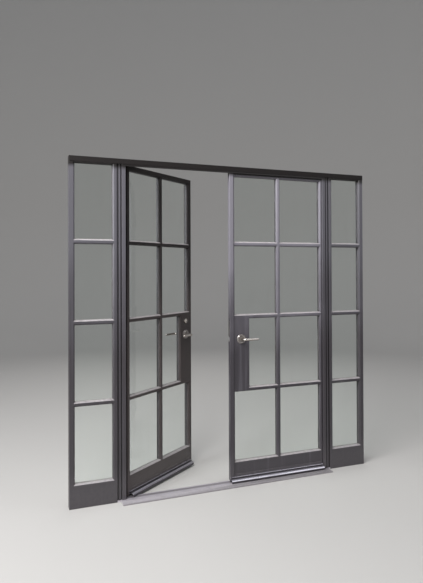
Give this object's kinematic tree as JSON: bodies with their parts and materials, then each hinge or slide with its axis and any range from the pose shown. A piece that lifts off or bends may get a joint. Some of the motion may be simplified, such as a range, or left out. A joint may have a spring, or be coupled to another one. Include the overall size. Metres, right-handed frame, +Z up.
{
  "type": "french doors",
  "caption": "Steel french doors with glazing bars and a fixed sidelight on each side, in one frame with a threshold. The active leaf stands open into the room.",
  "frame": {"origin": "middle of the sill line, on the outer face of the frame and on the underside of the threshold", "axes": "+X along the wall to the right seen from outside, +Y into the room, +Z up"},
  "size_m": [2.144, 0.59, 2.147],
  "materials": {
    "frame_paint": "satin dark bronze paint",
    "leaf_paint": "satin dark bronze paint",
    "bead_paint": "satin dark bronze paint",
    "kick_paint": "satin dark bronze paint",
    "trim_paint": "satin dark paint",
    "weather_paint": "satin dark bronze paint, worn lighter on top",
    "threshold_metal": "weathered mill finish",
    "seal": "black rubber",
    "glass": "clear float glass",
    "handle_metal": "satin nickel",
    "hinge_metal": "satin dark paint over steel",
    "lock_steel": "plain satin steel"
  },
  "bodies": {
    "frame": {"door_frame": "frame_paint", "left_sidelight_frame": "frame_paint", "right_sidelight_frame": "frame_paint", "left_mullion": "frame_paint", "right_mullion": "frame_paint", "threshold": "threshold_metal", "head_trim": "trim_paint", "frame_seal": "seal", "sidelight_beads": "bead_paint", "frame_hinge_halves": "hinge_metal", "hinge_pins": "hinge_metal", "left_sidelight_pane_1": "glass", "left_sidelight_pane_2": "glass", "left_sidelight_pane_3": "glass", "left_sidelight_pane_4": "glass", "right_sidelight_pane_1": "glass", "right_sidelight_pane_2": "glass", "right_sidelight_pane_3": "glass", "right_sidelight_pane_4": "glass"},
    "left_leaf": {"left_leaf_frame": "leaf_paint", "left_leaf_beads": "bead_paint", "left_kick_panel": "kick_paint", "left_weather_bar": "weather_paint", "left_hinge_leaves": "hinge_metal", "left_roses": "handle_metal", "lock_case": "lock_steel", "cylinder_collars": "handle_metal", "left_leaf_pane_1": "glass", "left_leaf_pane_2": "glass", "left_leaf_pane_3": "glass", "left_leaf_pane_4": "glass", "left_leaf_pane_5": "glass", "left_leaf_pane_6": "glass", "left_leaf_pane_7": "glass", "left_leaf_pane_8": "glass"},
    "left_lever": {"left_outside_lever": "handle_metal", "left_inside_lever": "handle_metal"},
    "latch": {"latch_bolt": "lock_steel"},
    "lock_cylinder": {"key_plug": "handle_metal", "thumbturn": "handle_metal"},
    "lock_bolt": {"deadbolt": "lock_steel"},
    "right_leaf": {"right_leaf_frame": "leaf_paint", "right_leaf_beads": "bead_paint", "right_kick_panel": "kick_paint", "right_weather_bar": "weather_paint", "right_hinge_leaves": "hinge_metal", "right_roses": "handle_metal", "strike_plate": "lock_steel", "right_leaf_pane_1": "glass", "right_leaf_pane_2": "glass", "right_leaf_pane_3": "glass", "right_leaf_pane_4": "glass", "right_leaf_pane_5": "glass", "right_leaf_pane_6": "glass", "right_leaf_pane_7": "glass", "right_leaf_pane_8": "glass"},
    "right_lever": {"right_outside_lever": "handle_metal", "right_inside_lever": "handle_metal"},
    "upper_shoot_bolt": {"top_bolt": "lock_steel"},
    "lower_shoot_bolt": {"bottom_bolt": "lock_steel"}
  },
  "joints": [
    {"name": "left_leaf_hinge", "type": "hinge", "parent": "frame", "child": "left_leaf", "pos_m": [-0.752, 0.0632, 1.065], "axis": [0, 0, 1], "range_deg": [-37, 68]},
    {"name": "right_leaf_hinge", "type": "hinge", "parent": "frame", "child": "right_leaf", "pos_m": [0.752, 0.0632, 1.065], "axis": [0, 0, -1], "range_deg": [0, 105]},
    {"name": "left_lever_turn", "type": "hinge", "parent": "left_leaf", "child": "left_lever", "pos_m": [-0.19535, 0.4461, 0.975], "axis": [0.6018, -0.7986, 0], "range_deg": [0, 45], "stiffness_Nm_per_rad": 1.5, "springref_deg": -34.38},
    {"name": "latch_slide", "type": "slide", "parent": "left_leaf", "child": "latch", "axis": [-0.7986, -0.6018, 0], "range_m": [0, 0.0115]},
    {"name": "thumbturn_turn", "type": "hinge", "parent": "left_leaf", "child": "lock_cylinder", "pos_m": [-0.19535, 0.4461, 1.073], "axis": [-0.6018, 0.7986, 0], "range_deg": [0, 90]},
    {"name": "deadbolt_slide", "type": "slide", "parent": "left_leaf", "child": "lock_bolt", "axis": [0.7986, 0.6018, 0], "range_m": [0, 0.0199]},
    {"name": "right_lever_turn", "type": "hinge", "parent": "right_leaf", "child": "right_lever", "pos_m": [0.077, 0.034, 0.975], "axis": [0, -1, 0], "range_deg": [0, 40]},
    {"name": "top_bolt_slide", "type": "slide", "parent": "right_leaf", "child": "upper_shoot_bolt", "axis": [0, 0, 1], "range_m": [0, 0.0142]},
    {"name": "bottom_bolt_slide", "type": "slide", "parent": "right_leaf", "child": "lower_shoot_bolt", "axis": [0, 0, -1], "range_m": [0, 0.0142]}
  ],
  "couplings": [
    {"joint": "latch_slide", "follows": "left_lever_turn", "m_per_rad": 0.014},
    {"joint": "thumbturn_turn", "follows": "deadbolt_slide", "rad_per_m": 78.5},
    {"joint": "top_bolt_slide", "follows": "right_lever_turn", "m_per_rad": 0.02},
    {"joint": "bottom_bolt_slide", "follows": "right_lever_turn", "m_per_rad": 0.02}
  ]
}
